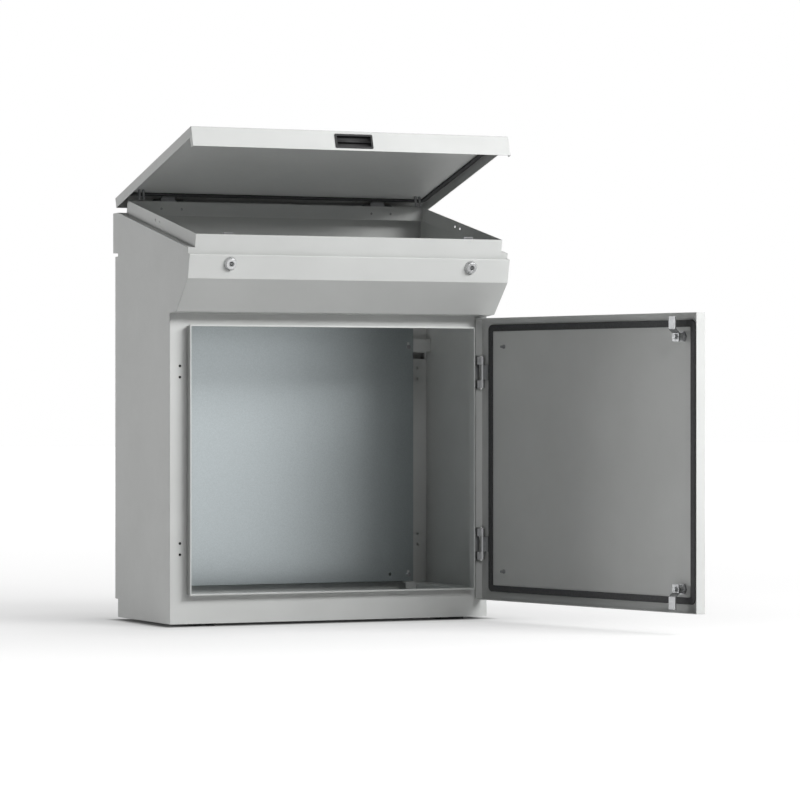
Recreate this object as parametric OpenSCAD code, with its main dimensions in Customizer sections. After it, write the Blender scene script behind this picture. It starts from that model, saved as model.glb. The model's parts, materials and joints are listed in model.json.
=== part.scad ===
// Sheet-steel console cabinet: base with a hinged front door, sloping desk with a
// hinged lid, bolted rear panel, mounting plate and quarter-turn locks.
// X runs to the right, Y to the rear and Z up, in millimetres.
// The origin is on the floor, at the centre of the base.

/* [Cabinet] */
// Width over the side sheets
body_w = 800; // [700:10:1200]
// Depth of the base, front frame face to rear frame face
base_d = 330; // [300:10:450]
// Height of the front frame sheet
front_h = 704; // [600:1:900]
// Height of the top rear edge above the rear frame sheet
header_h = 94.2; // [80:0.1:110]
// Thickness of the body sheets
sheet_t = 1.5; // [1.25:0.25:2]
// Inside radius of the sheet folds
fold_r = 0.5; // [0.25:0.25:0.75]
// How far the top stands out behind the rear frame
hump_d = 32; // [30:1:50]
// Width of the level strip at the rear of the top
flat_d = 34; // [33:1:40]

/* [Desk] */
// Slope of the desk
slope = 12.5; // [10:0.5:15]
// How far the front edge of the deck stands out in front of the frame
desk_out = 110.9; // [105:0.1:120]
// Rise from the top of the front frame to the front edge of the deck
desk_rise = 144.9; // [140:0.1:155]
// How far the nose stands out in front of the collar
nose_step = 14; // [13:0.5:16]
// Drop from the deck to the top edge of the nose
nose_drop = 12.5; // [12:0.5:14]
// Height of the nose front face
nose_face = 55; // [50:1:60]
// How far the lower fold of the nose stands out in front of the frame
nose_low_out = 40.5; // [35:0.5:50]
// Rise of the underside of the nose
nose_low_rise = 3; // [1:0.5:6]
// Width of the turned edge along the top of the nose
hem_w = 5; // [5:0.5:6]
// Depth of the gutter behind the nose edge
gutter_d = 5; // [4:0.5:6]
// Distance from the body side to the collar
collar_in = 17.5; // [15:0.5:30]
// Height of the collar above the deck
collar_h = 31; // [28:0.5:34]
// Distance from the rear end of the deck to the collar
collar_rear_in = 9.6; // [8:0.1:12]
// Diameter of the small holes in the collar sides
collar_hole_d = 6; // [4:0.5:8]
// Distance between the two holes of a pair
collar_hole_pitch = 27.6; // [20:0.1:40]
// Distance of the hole pair from the deck front edge
collar_hole_s = 239.8; // [150:0.1:300]
// Height of the holes above the deck
collar_hole_n = 17; // [12:0.5:20]

/* [Openings] */
// Width of the frames beside the openings
stile_w = 44.5; // [44.5:0.5:52]
// Height of the front frame above its opening
head_h = 29; // [27:1:36]
// Height of the openings above the lower edge of the sheets
opening_z = 68; // [66:1:70]
// Height of the rear frame above its opening
rear_head_h = 34; // [30:1:44]
// Length of the doubled edge of the lips
lip_hem_d = 8; // [5:1:12]
// Width of the slots in the rear uprights
upright_slot_w = 36; // [20:1:38]
// Height of the slots in the rear uprights
upright_slot_h = 15; // [10:1:20]
// Distance of these slots below the upper screws of the mounting plate
upright_slot_drop = 25; // [24:1:40]

/* [Door] */
// Distance of the door edges from the body sides
door_side_in = 7.5; // [7:0.5:9]
// Distance of the door from the top of the front frame
door_top_in = 5; // [4:0.5:8]
// Height of the door above the lower edge of the sheets
door_z = 41; // [40:1:43]
// Depth of the door tray
door_d = 25.5; // [24:0.5:28]
// Thickness of the door sheet
door_t = 1.5; // [1.25:0.25:2]
// Gap between the tray edges and the frames
cover_gap = 2.5; // [2:0.5:3.5]
// Space for the gasket between tray and lip
gasket_space = 4; // [3:0.5:5]
// Width of the door and rear panel gaskets
gasket_w = 15; // [12:0.5:16]
// Outer corner radius of the gaskets
gasket_corner_r = 12; // [8:1:16]
// Inner corner radius of the gaskets
gasket_inner_r = 3; // [1:0.5:6]
// Angle of the door in the stored pose
door_open = 102; // [60:1:120]
// Distance of the two studs from the door hinge axis
door_stud_in = 71; // [60:0.5:100]
// Distance of the studs from the top and bottom edge of the door
door_stud_end = 67; // [60:1:90]
// Length of the studs
door_stud_l = 10; // [6:1:16]

/* [Door hinges] */
// Distance of the hinge axis from the body side
hinge_in = 20.5; // [20.5:0.5:22]
// Distance of the hinge axis in front of the frame
hinge_off = 18; // [17.5:0.5:19]
// Distance of the upper hinge from the top edge of the door
hinge_top_in = 126.8; // [120:0.1:160]
// Distance of the lower hinge from the bottom edge of the door
hinge_low_in = 129.2; // [120:0.1:160]
// Length of a hinge
hinge_l = 73; // [65:1:80]
// Length of the middle knuckle
knuckle_l = 36; // [30:1:40]
// Radius of the knuckles
knuckle_r = 4.5; // [4:0.25:5]
// Radius of the hinge pins
pin_r = 2.5; // [2:0.25:3]
// Radial clearance of the pins in the moving knuckle
pin_fit = 0.05; // [0.02:0.01:0.1]
// Distance of the hinge holes from the body side
hinge_hole_in = 25.4; // [25:0.1:27]
// Distance between the two holes of a hinge
hinge_hole_pitch = 25.4; // [20:0.1:30]
// Diameter of the hinge holes
hinge_hole_d = 6.5; // [6.2:0.1:8]
// Clearance between the lip and the hinge leaf on the frame
leaf_gap = 2.5; // [1:0.5:3]
// Thickness of the hinge leaf on the frame
leaf_t = 2.5; // [2:0.25:3]
// Thickness of the hinge leaves on door and lid
flap_t = 3; // [2:0.25:3]

/* [Lid] */
// Clearance between the body side and the lid side
lid_side_in = 3.5; // [2:0.5:4]
// How far the lid runs past the rear end of the deck
lid_rear_over = 33.4; // [30:0.1:34]
// Depth of the side and rear edges of the lid
lid_skirt = 24; // [22:0.5:26]
// Depth of the front edge of the lid
lid_front = 46.5; // [44:0.5:47]
// Length of the deep corner tabs behind the front edge of the lid
lid_tab = 11; // [8:0.5:11]
// Thickness of the lid sheet
lid_t = 1.5; // [1.25:0.25:2]
// Gap between collar and lid for the gasket
lid_gap = 5; // [5:0.5:6]
// Width of the lid gasket
lid_gasket_w = 14; // [10:0.5:15]
// Distance of the lid hinge axis from the rear edge of the lid
lid_hinge_in = 16.6; // [16:0.1:18]
// Distance of the lid hinge axis below the top of the lid
lid_hinge_drop = 10.7; // [10.5:0.1:12]
// Distance of the lid hinges from the body sides
lid_hinge_end = 129; // [90:1:180]
// Angle of the lid in the stored pose
lid_open = 28.6; // [10:0.1:60]
// Width of the recessed handle
handle_w = 88; // [80:1:120]
// Height of the recessed handle
handle_h = 28; // [26:0.5:30]
// Distance from the top of the lid to the handle
handle_drop = 10.5; // [9:0.5:12]
// Depth of the handle cup behind the sheet
handle_d = 8.5; // [6:0.5:8.5]
// Wall of the handle cup
handle_t = 2; // [1.5:0.25:2.5]
// Height of the grip bar across the handle cup
handle_grip = 5; // [3:0.5:8]
// How far the handle rim covers the sheet
handle_rim = 3; // [2:0.5:4]
// Distance of the outer lid studs from the body sides
lid_stud_end = 38; // [32:1:60]
// Distance between the two lid studs of a side
lid_stud_pitch = 10.5; // [8:0.5:20]
// Length of the lid studs
lid_stud_l = 25; // [15:1:30]
// Distance of the lid studs from the rear edge of the lid
lid_stud_in = 68; // [55:1:90]

/* [Locks] */
// Diameter of the lock rosettes at the sheet
rosette_d = 31; // [28:0.5:32]
// Diameter of the lock rosettes at the front
rosette_top_d = 24; // [20:0.5:26]
// Height of the lock rosettes
rosette_h = 9; // [6:0.5:10]
// Diameter of the lock barrels
barrel_d = 18; // [17:0.5:18]
// Length of the lock barrels behind the outer face
barrel_l = 21; // [18:0.5:21]
// Width across the flats of the lock nuts
lock_nut_af = 22; // [21:0.5:24]
// Thickness of the lock nuts
lock_nut_h = 5; // [4:0.5:6]
// Diameter of the turning inserts
insert_d = 12; // [11:0.5:13]
// Radial clearance of the inserts in the barrels
insert_fit = 0.05; // [0.03:0.01:0.1]
// How deep the insert face lies behind the front of the rosette
insert_sunk = 2; // [1:0.5:4]
// Diameter of the key recess
key_d = 9; // [8:0.5:10]
// Depth of the key recess
key_depth = 8; // [6:0.5:10]
// Diameter of the pin in the key recess
key_pin_d = 3.2; // [2.5:0.1:4]
// Thickness of the lock cams
cam_t = 3; // [2.5:0.25:3]
// Diameter of the insert end that carries the cam
cam_stub_d = 8; // [7:0.5:9]
// Width across the flats of the cam screw heads
cam_screw_af = 10; // [8:0.5:12]
// Height of the cam screw heads
cam_screw_h = 5; // [3:0.5:6]
// Distance of the lid locks from the body sides
lid_lock_end = 100; // [70:1:150]
// Drop from the deck to the lid lock axis
lid_lock_drop = 32.6; // [32.5:0.1:36]
// Distance from the nose face to the lid lock cams
lid_hub = 26; // [24:0.5:27]
// Width of the lid lock cams
lid_cam_w = 14; // [12:0.5:16]
// How far the lid cam reaches above the deck
lid_cam_top = 33.5; // [32:0.5:34]
// Width of the head of the lid cam
lid_head_w = 24; // [22:0.5:26]
// Height of the head of the lid cam
lid_head_h = 9.5; // [8:0.5:10]
// Width of the keepers under the lid
keeper_w = 14; // [12:0.5:18]
// Thickness of the keepers
keeper_t = 2; // [1.5:0.25:2]
// Clearance of the keepers beside and under the cam heads
keeper_gap = 2; // [1:0.25:2.5]
// How far the keepers stand behind the cams
keeper_back = 3; // [2:0.5:5]
// Distance from the door face to the hub of the door lock cams
door_hub = 21.5; // [21.5:0.5:23]
// Distance of the door locks from the free edge of the door
door_lock_in = 71; // [65:1:80]
// Distance of the door locks from the top and bottom edge of the door
door_lock_end = 52; // [49:1:54]
// Width of the door lock cams
door_cam_w = 22; // [18:0.5:24]
// Reach of the door lock cams
door_cam_l = 44; // [40:1:45]
// Clearance between cam and the inner face of the frame
cam_gap = 2; // [1:0.25:3]

/* [Rear panel] */
// Distance of the rear panel edges from the body sides
rear_side_in = 3; // [2:0.5:7]
// Distance of the rear panel from the top of the rear frame
rear_top_in = 8; // [6:1:12]
// Height of the rear panel above the lower edge of the sheets
rear_z = 42; // [40:1:46]
// Depth of the rear panel tray
rear_d = 23.5; // [22:0.5:26]
// Distance of the panel screws from the top and bottom edge of the panel
rear_screw_end = 60; // [50:1:75]
// Diameter of the threaded pillars behind the panel screws
pillar_d = 11; // [10:0.5:14]
// Shank diameter of the panel, plate and gland screws
screw_d = 6; // [5:0.5:6]
// Head diameter of these screws
screw_head_d = 10; // [9:0.5:12]
// Head height of these screws
screw_head_h = 3.6; // [3:0.2:5]

/* [Mounting plate] */
// Distance of the mounting plate edges from the body sides
plate_side_in = 50; // [50:1:70]
// Distance of the mounting plate from the top of the front frame
plate_top_in = 13.5; // [10:0.5:40]
// Thickness of the mounting plate
plate_t = 2; // [1.5:0.5:3]
// Height of the mounting plate above the lower edge of the sheets
plate_z = 70.5; // [70.5:0.5:76]
// Distance from the rear frame face to the front face of the plate
plate_in = 30; // [25:1:80]
// Distance of the plate slots from the side edges
plate_slot_in = 13; // [12:0.5:16]
// Distance of the plate slots from the lower edge
plate_slot_low = 19.5; // [16:0.5:24]
// Distance of the upper slots from the upper edge
plate_slot_top = 50.5; // [40:0.5:70]
// Length of the plate slots
plate_slot_l = 14; // [12:0.5:16]
// Width of the plate slots
plate_slot_w = 6.5; // [6.2:0.1:7]
// Distance of the extra holes from the side edges
plate_hole_in = 62; // [50:1:80]
// Distance of the extra holes from the lower edge
plate_hole_low = 17.5; // [14:0.5:24]
// Diameter of the extra holes
plate_hole_d = 8; // [6:0.5:10]
// Thickness of the plate brackets
bracket_t = 2; // [1.5:0.25:2]
// Width of the plate brackets behind the plate
bracket_lap = 27; // [25:1:40]
// Height of the upper plate brackets
bracket_h = 30; // [28:1:40]

/* [Floor] */
// Height of the foot pads
pad_h = 6; // [4:0.5:12]
// Side length of the foot pads
pad_w = 60; // [50:1:70]
// Distance of the foot bolts from the body sides
foot_side_in = 85; // [80:1:110]
// Distance of the foot bolts from the front and rear frame
foot_end_in = 42; // [38:1:60]
// Diameter of the foot bolt holes
foot_hole_d = 13; // [10:0.5:16]
// Width of the floor rails along the side sheets
rail_w = 48.5; // [48.5:0.5:49]
// Height of the top of the floor rails above the lower edge of the sheets
rail_h = 66; // [55:1:67]
// Distance of the gland plates from the body sides
gland_side_in = 130; // [126:1:160]
// Distance of the gland plates from the front and rear frame
gland_end_in = 35; // [25:1:60]
// Distance of the gland plates from the middle
gland_in = 4; // [3:0.5:10]
// Width of the gland gaskets
gland_seal_w = 15; // [14:0.5:20]
// Thickness of the gland gaskets
gland_seal_t = 2; // [1.5:0.5:3]
// Thickness of the gland plates
gland_t = 2; // [1.5:0.5:3]

/* [Hidden] */
$fn = 48;
arc_steps = 4;
cut = 1;
paint = "#c9cbc8";
paint_inside = "#b9bbb8";
zinc = "#b8c4c8";
steel = "#cfd2d4";
foam = "#2b2c2d";
black = "#161617";

half_w = body_w / 2;
inner_w = body_w - 2 * sheet_t;
front_y = -base_d / 2;
rear_y = base_d / 2;
frame_top = pad_h + front_h;
desk_y = front_y - desk_out;
desk_z = frame_top + desk_rise;
hump_y = rear_y + hump_d;
deck_len = (hump_y - flat_d - desk_y) / cos(slope);
rear_top = desk(deck_len, 0)[1] - header_h;
rear_h = rear_top - pad_h;
opening_w = body_w - 2 * stile_w;
opening_h = front_h - opening_z - head_h;
rear_opening_h = rear_h - opening_z - rear_head_h;
collar_len = deck_len - collar_rear_in;
collar_x = half_w - collar_in;
nose_low = [front_y - nose_low_out, frame_top + nose_low_rise];
front_lip_d = cover_gap + door_d - door_t - gasket_space;
rear_lip_d = cover_gap + rear_d - door_t - gasket_space;
gasket_t = gasket_space - 0.3;
lip_mid = opening_w / 2 + sheet_t / 2;
door_w = body_w - 2 * door_side_in;
door_h = front_h - door_z - door_top_in;
door_y = front_y - cover_gap - door_d;
door_low = pad_h + door_z;
hinge_x = half_w - hinge_in;
hinge_y = front_y - hinge_off;
hinge_zs = [door_low + door_h - hinge_top_in, door_low + hinge_low_in];
lid_n = collar_h + lid_gap + lid_t;
lid_rear_s = deck_len + lid_rear_over;
lid_x = half_w - lid_side_in;
lid_hinge_x = half_w - lid_hinge_end;
lid_stud_x = half_w - lid_stud_end;
lid_lock_x = half_w - lid_lock_end;
lid_axis_s = lid_rear_s - lid_hinge_in;
lid_axis_n = lid_n - lid_hinge_drop;
lid_axis = desk(lid_axis_s, lid_axis_n);
lid_gasket_t = lid_gap - 0.3;
knuckle_gap = 0.3;
door_lock_x = door_lock_in - door_w / 2;
door_lock_zs = [door_low + door_h - door_lock_end, door_low + door_lock_end];
rear_y_out = rear_y + cover_gap + rear_d;
pillar_x = half_w - hinge_hole_in;
rear_w = body_w - 2 * rear_side_in;
rear_panel_h = rear_h - rear_z - rear_top_in;
rear_low = pad_h + rear_z;
pillar_zs = [
    rear_low + rear_screw_end,
    rear_low + rear_panel_h / 2,
    rear_low + rear_panel_h - rear_screw_end];
plate_y = rear_y - plate_in;
plate_low = pad_h + plate_z;
plate_w = body_w - 2 * plate_side_in;
plate_h = front_h - plate_z - plate_top_in;
plate_slot_x = plate_w / 2 - plate_slot_in;
plate_slot_zs = [plate_low + plate_slot_low, plate_low + plate_h - plate_slot_top];
floor_z = pad_h;
floor_top = pad_h + sheet_t;
rail_x = half_w - sheet_t - rail_w;
rail_top = pad_h + rail_h;
gland_w = half_w - gland_side_in - gland_in;
gland_d = base_d - 2 * gland_end_in;
gland_x = gland_in + gland_w / 2;
gland_seat = floor_top + gland_seal_t;

// Point of the desk at the distance s behind its front edge and the height n above the deck
function desk(s, n) = [desk_y + s * cos(slope) - n * sin(slope), desk_z + s * sin(slope) + n * cos(slope)];

// Helpers for outlines
function unit(v) = v / norm(v);
function left_of(v) = [-v[1], v[0]];
function cross_of(a, b) = a[0] * b[1] - a[1] * b[0];
function turned(v, a) = [v[0] * cos(a) - v[1] * sin(a), v[0] * sin(a) + v[1] * cos(a)];
function backwards(list) = [for (i = [len(list) - 1:-1:0]) list[i]];

// Arc of radius r at the corner q of the path p, q, s
function corner(p, q, s, r) =
    let (a = unit(q - p), b = unit(s - q), bend = atan2(cross_of(a, b), a * b))
    let (out = left_of(a) * r * sign(bend), start = q - a * r * tan(abs(bend) / 2))
    [for (i = [0:arc_steps]) start + out - turned(out, bend * i / arc_steps)];

// Path with its left turns rounded by r_left and its right turns by r_right
function rounded(path, r_left, r_right) = let (last = len(path) - 1) [
    path[0],
    for (i = [1:last - 1])
        let (bend = cross_of(path[i] - path[i - 1], path[i + 1] - path[i]))
        each corner(path[i - 1], path[i], path[i + 1], bend > 0 ? r_left : r_right),
    path[last]];

// Path moved to its left by t, with mitred corners
function shifted(path, t) = let (last = len(path) - 1) [
    for (i = [0:last])
        let (a = left_of(unit(path[max(i, 1)] - path[max(i, 1) - 1])))
        let (b = left_of(unit(path[min(i + 1, last)] - path[min(i + 1, last) - 1])))
        path[i] + t * (a + b) / (1 + a * b)];

// Outline of a sheet of thickness t that lies to the left of a path, folded at its corners
function folded(path, t) = concat(
    rounded(path, fold_r + t, fold_r),
    backwards(rounded(shifted(path, t), fold_r, fold_r + t)));

// Outline of a rectangle with round corners, about its middle
function round_rect(w, h, r) = [
    for (c = [0:3], i = [0:arc_steps * 2])
        let (a = 90 * c + 45 * i / arc_steps, sx = c == 0 || c == 3 ? 1 : -1, sy = c < 2 ? 1 : -1)
        [sx * (w / 2 - r) + r * cos(a), sy * (h / 2 - r) + r * sin(a)]];

// Extrusion along X of an outline drawn in Y and Z
module across(w) {
    rotate([90, 0, 90])
        linear_extrude(w, center = true)
            children();
}

// Extrusion along Y, from y0 over the length d, of an outline drawn in X and Z
module along(y0, d) {
    translate([0, y0 + d, 0])
        rotate([90, 0, 0])
            linear_extrude(d)
                children();
}

// Box between two corners
module box(a, b) {
    translate(a)
        cube(b - a);
}

// Round bar along Y
module bar_y(r, l) {
    rotate([-90, 0, 0])
        cylinder(r = r, h = l);
}

// Places of the desk frame: X across, Y up the slope, Z square to the deck
module on_desk() {
    translate([0, desk_y, desk_z])
        rotate([slope, 0, 0])
            children();
}

// Door and lid from their closed place to the stored pose
module door_pose() {
    translate([hinge_x, hinge_y, 0])
        rotate([0, 0, door_open])
            translate([-hinge_x, -hinge_y, 0])
                children();
}
module lid_pose() {
    translate([0, lid_axis[0], lid_axis[1]])
        rotate([slope - lid_open, 0, 0])
            translate([0, -lid_axis_s, -lid_axis_n])
                children();
}

// One child on each side of the middle
module both_sides() {
    children();
    mirror([1, 0, 0])
        children();
}

// Pairs of hinge holes at both hinges, in X and Z
module hinge_holes(d) {
    for (z = hinge_zs, k = [-1, 1])
        translate([half_w - hinge_hole_in, z + k * hinge_hole_pitch / 2])
            circle(d = d);
}

// Frame sheet with an opening and its turned-out lip, standing at y = 0 and facing -Y
module opening_frame(h, open_h, lip_d) {
    low = pad_h + opening_z;
    mid = low + open_h / 2;
    difference() {
        union() {
            box([-inner_w / 2, 0, pad_h], [inner_w / 2, sheet_t, pad_h + h]);
            translate([0, 0, mid])
                along(-lip_d, lip_d + sheet_t)
                    square([opening_w + 2 * sheet_t, open_h + 2 * sheet_t], center = true);
            translate([0, 0, mid])
                along(-lip_d, lip_hem_d)
                    square([opening_w + 4 * sheet_t, open_h + 4 * sheet_t], center = true);
        }
        translate([0, 0, mid])
            along(-lip_d - cut, lip_d + sheet_t + 2 * cut)
                square([opening_w, open_h], center = true);
        both_sides()
            along(-cut, sheet_t + 2 * cut)
                hinge_holes(hinge_hole_d);
    }
}

// Gasket ring on the middle of a lip
module lip_gasket(open_h, w, t) {
    along(0, t)
        difference() {
            polygon(round_rect(2 * lip_mid + w, open_h + sheet_t + w, gasket_corner_r));
            polygon(round_rect(2 * lip_mid - w, open_h + sheet_t - w, gasket_inner_r));
        }
}

// Side sheet drawn at the left
module side_sheet() {
    outline = [
        [front_y, pad_h],
        [front_y, frame_top],
        nose_low,
        desk(-nose_step, -nose_drop - nose_face),
        desk(-nose_step, -nose_drop),
        desk(0, -nose_drop),
        desk(0, 0),
        desk(deck_len, 0),
        [hump_y, desk(deck_len, 0)[1]],
        [hump_y, rear_top],
        [rear_y, rear_top],
        [rear_y, pad_h]];
    translate([-half_w + sheet_t / 2, 0, 0])
        across(sheet_t)
            polygon(outline);
}
module left_side() {
    color(paint)
        side_sheet();
}
module right_side() {
    color(paint)
        mirror([1, 0, 0])
            side_sheet();
}

module front_frame() {
    color(paint)
        translate([0, front_y, 0])
            opening_frame(front_h, opening_h, front_lip_d);
}

// Folded nose from the gutter behind its edge down to the frame
module nose_panel() {
    gutter_n = -nose_drop - gutter_d;
    path = [
        desk(sheet_t, gutter_n),
        desk(hem_w - nose_step, gutter_n),
        desk(hem_w - nose_step, -nose_drop),
        desk(-nose_step, -nose_drop),
        desk(-nose_step, -nose_drop - nose_face),
        nose_low,
        [front_y + sheet_t, frame_top]];
    color(paint)
        difference() {
            across(inner_w)
                polygon(folded(path, sheet_t));
            lid_lock_places()
                translate([0, -cut, 0])
                    bar_y(barrel_d / 2, sheet_t + 2 * cut);
        }
}

// Deck with the collar that the lid closes on
module desk_deck() {
    color(paint)
        on_desk()
            difference() {
                union() {
                    box([-inner_w / 2, 0, -sheet_t], [inner_w / 2, collar_len, 0]);
                    box([-inner_w / 2, 0, -nose_drop - gutter_d], [inner_w / 2, sheet_t, 0]);
                    box([-collar_x, 0, -sheet_t], [collar_x, collar_len, collar_h]);
                }
                box([sheet_t - collar_x, sheet_t, -sheet_t - cut],
                    [collar_x - sheet_t, collar_len - sheet_t, collar_h + cut]);
                for (k = [-1, 1])
                    translate([0, collar_hole_s + k * collar_hole_pitch / 2, collar_hole_n])
                        rotate([0, 90, 0])
                            cylinder(d = collar_hole_d, h = body_w, center = true);
                deck_screw_places()
                    translate([0, -2 * sheet_t, 0])
                        bar_y(screw_d / 2, 4 * sheet_t);
            }
}

// Folded top rear of the body
module rear_header() {
    path = [
        [rear_y - sheet_t, rear_top],
        [hump_y, rear_top],
        [hump_y, desk(deck_len, 0)[1]],
        desk(deck_len, 0),
        desk(collar_len, 0)];
    color(paint)
        across(inner_w)
            polygon(folded(path, sheet_t));
}

module rear_frame() {
    slot_x = (opening_w / 2 + inner_w / 2) / 2;
    color(paint)
        difference() {
            translate([0, rear_y, 0])
                mirror([0, 1, 0])
                    opening_frame(rear_h, rear_opening_h, rear_lip_d);
            for (side = [-1, 1])
                translate([side * slot_x, rear_y, plate_slot_zs[1] - upright_slot_drop])
                    cube([upright_slot_w, 4 * sheet_t, upright_slot_h], center = true);
        }
}

// Places of the foot bolts
module foot_places() {
    for (x = [-1, 1], y = [-1, 1])
        translate([x * (half_w - foot_side_in), y * (rear_y - foot_end_in), 0])
            children();
}

// Places of the screws of one gland plate
module gland_screw_places() {
    for (side = [-1, 1], x = [-1, 1], y = [-1, 0, 1])
        translate([
            side * gland_x + x * (gland_w - gland_seal_w) / 2,
            y * (gland_d - gland_seal_w) / 2,
            0])
            children();
}

module floor_pan() {
    open_x = gland_w - 2 * gland_seal_w;
    open_y = gland_d - 2 * gland_seal_w;
    color(paint_inside)
        difference() {
            box([-inner_w / 2, front_y + sheet_t, floor_z], [inner_w / 2, rear_y - sheet_t, floor_top]);
            for (side = [-1, 1])
                translate([side * gland_x, 0, floor_z])
                    cube([open_x, open_y, 4 * sheet_t], center = true);
            foot_places()
                translate([0, 0, floor_z - cut])
                    cylinder(d = foot_hole_d, h = sheet_t + 2 * cut);
            gland_screw_places()
                translate([0, 0, floor_z - cut])
                    cylinder(d = screw_d, h = sheet_t + 2 * cut);
        }
}

module foot_pads() {
    color(steel)
        foot_places()
            difference() {
                translate([0, 0, pad_h / 2])
                    cube([pad_w, pad_w, pad_h], center = true);
                translate([0, 0, -cut])
                    cylinder(d = foot_hole_d, h = pad_h + 2 * cut);
            }
}

// Folded rail along the right side sheet
module floor_rail() {
    path = [
        [half_w - sheet_t, rail_top],
        [rail_x, rail_top],
        [rail_x, floor_top]];
    along(front_y + sheet_t, base_d - 2 * sheet_t)
        polygon(folded(path, sheet_t));
}
module floor_rail_left() {
    color(paint_inside)
        mirror([1, 0, 0])
            floor_rail();
}
module floor_rail_right() {
    color(paint_inside)
        floor_rail();
}

// Flat plate on a gland opening, between two heights, with its screw holes
module gland_layer(side, z0, z1, border) {
    difference() {
        translate([side * gland_x, 0, (z0 + z1) / 2])
            difference() {
                cube([gland_w, gland_d, z1 - z0], center = true);
                if (border > 0)
                    cube([gland_w - 2 * border, gland_d - 2 * border, z1 - z0 + cut], center = true);
            }
        gland_screw_places()
            translate([0, 0, z0 - cut])
                cylinder(d = screw_d, h = z1 - z0 + 2 * cut);
    }
}
module gland_plates() {
    color(zinc)
        for (side = [-1, 1])
            gland_layer(side, gland_seat, gland_seat + gland_t, 0);
}
module gland_gaskets() {
    color(foam)
        for (side = [-1, 1])
            gland_layer(side, floor_top, gland_seat, gland_seal_w);
}

// Screw along -Z with its head seated at z = 0
module screw(l) {
    cylinder(d = screw_head_d, h = screw_head_h);
    translate([0, 0, -l])
        cylinder(d = screw_d, h = l + screw_head_h / 2);
}
module gland_screws() {
    color(steel)
        gland_screw_places()
            translate([0, 0, gland_seat + gland_t])
                screw(gland_seat + gland_t - floor_z);
}

// Places of the rear panel screws
module pillar_places() {
    for (x = [-pillar_x, pillar_x], z = pillar_zs)
        translate([x, rear_y, z])
            children();
}

module rear_panel() {
    mid = rear_low + rear_panel_h / 2;
    color(paint)
        difference() {
            translate([0, 0, mid])
                along(rear_y + cover_gap, rear_d)
                    square([rear_w, rear_panel_h], center = true);
            translate([0, 0, mid])
                along(rear_y, cover_gap + rear_d - door_t)
                    square([rear_w - 2 * door_t, rear_panel_h - 2 * door_t], center = true);
            pillar_places()
                bar_y(screw_d / 2, 2 * rear_d);
        }
}
module rear_panel_gasket() {
    color(foam)
        translate([0, rear_y + rear_lip_d, pad_h + opening_z + rear_opening_h / 2])
            lip_gasket(rear_opening_h, gasket_w, gasket_space);
}
module rear_panel_pillars() {
    l = cover_gap + rear_d - door_t;
    color(steel)
        pillar_places()
            difference() {
                bar_y(pillar_d / 2, l);
                translate([0, l / 2, 0])
                    bar_y(screw_d / 2, l);
            }
}
module rear_panel_screws() {
    l = (cover_gap + rear_d + door_t) / 2;
    color(steel)
        pillar_places()
            translate([0, cover_gap + rear_d, 0])
                rotate([-90, 0, 0])
                    screw(l);
}

// Places of the plate slots
module plate_places() {
    for (x = [-plate_slot_x, plate_slot_x], z = plate_slot_zs)
        translate([x, plate_y, z])
            children();
}

module mounting_plate() {
    color(zinc)
        difference() {
            box([-plate_w / 2, plate_y, plate_low], [plate_w / 2, plate_y + plate_t, plate_low + plate_h]);
            plate_places()
                along(-cut, plate_t + 2 * cut)
                    square([plate_slot_w, plate_slot_l], center = true);
            for (side = [-1, 1])
                translate([side * (plate_w / 2 - plate_hole_in), plate_y - cut, plate_low + plate_hole_low])
                    bar_y(plate_hole_d / 2, plate_t + 2 * cut);
        }
}

// Screws of the plate sit in the lower half of the slots
plate_screw_drop = (plate_slot_l - screw_d) / 2;

// Strap from the right side sheet to the back of the plate
module plate_bracket_upper() {
    z = plate_slot_zs[1];
    edge = plate_w / 2 - bracket_lap;
    back = plate_y + plate_t;
    path = [
        [edge, back],
        [half_w - sheet_t, back],
        [half_w - sheet_t, rear_y - 2 * sheet_t]];
    difference() {
        translate([0, 0, z - bracket_h / 2])
            linear_extrude(bracket_h)
                polygon(folded(path, bracket_t));
        translate([plate_slot_x, back - cut, z - plate_screw_drop])
            bar_y(screw_d / 2, bracket_t + 2 * cut);
    }
}
module plate_brackets_upper() {
    color(paint_inside)
        both_sides()
            plate_bracket_upper();
}

// Folded shelf at the right floor rail that carries the lower edge of the plate
module plate_bracket_lower() {
    back = plate_y + plate_t;
    shelf = plate_low - sheet_t;
    path = [
        [back, plate_slot_zs[0] + bracket_lap / 3],
        [back, shelf],
        [back - bracket_lap * 0.7, shelf],
        [back - bracket_lap * 0.7, shelf - bracket_h * 0.6]];
    difference() {
        translate([rail_x - bracket_lap / 2, 0, 0])
            across(bracket_lap)
                polygon(folded(path, bracket_t));
        translate([plate_slot_x, back - cut, plate_slot_zs[0] - plate_screw_drop])
            bar_y(screw_d / 2, bracket_t + 2 * cut);
    }
}
module plate_brackets_lower() {
    color(paint_inside)
        both_sides()
            plate_bracket_lower();
}
module plate_screws() {
    color(steel)
        plate_places()
            translate([0, 0, -plate_screw_drop])
                rotate([90, 0, 0])
                    screw(plate_t + bracket_t + screw_d);
}

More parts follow.
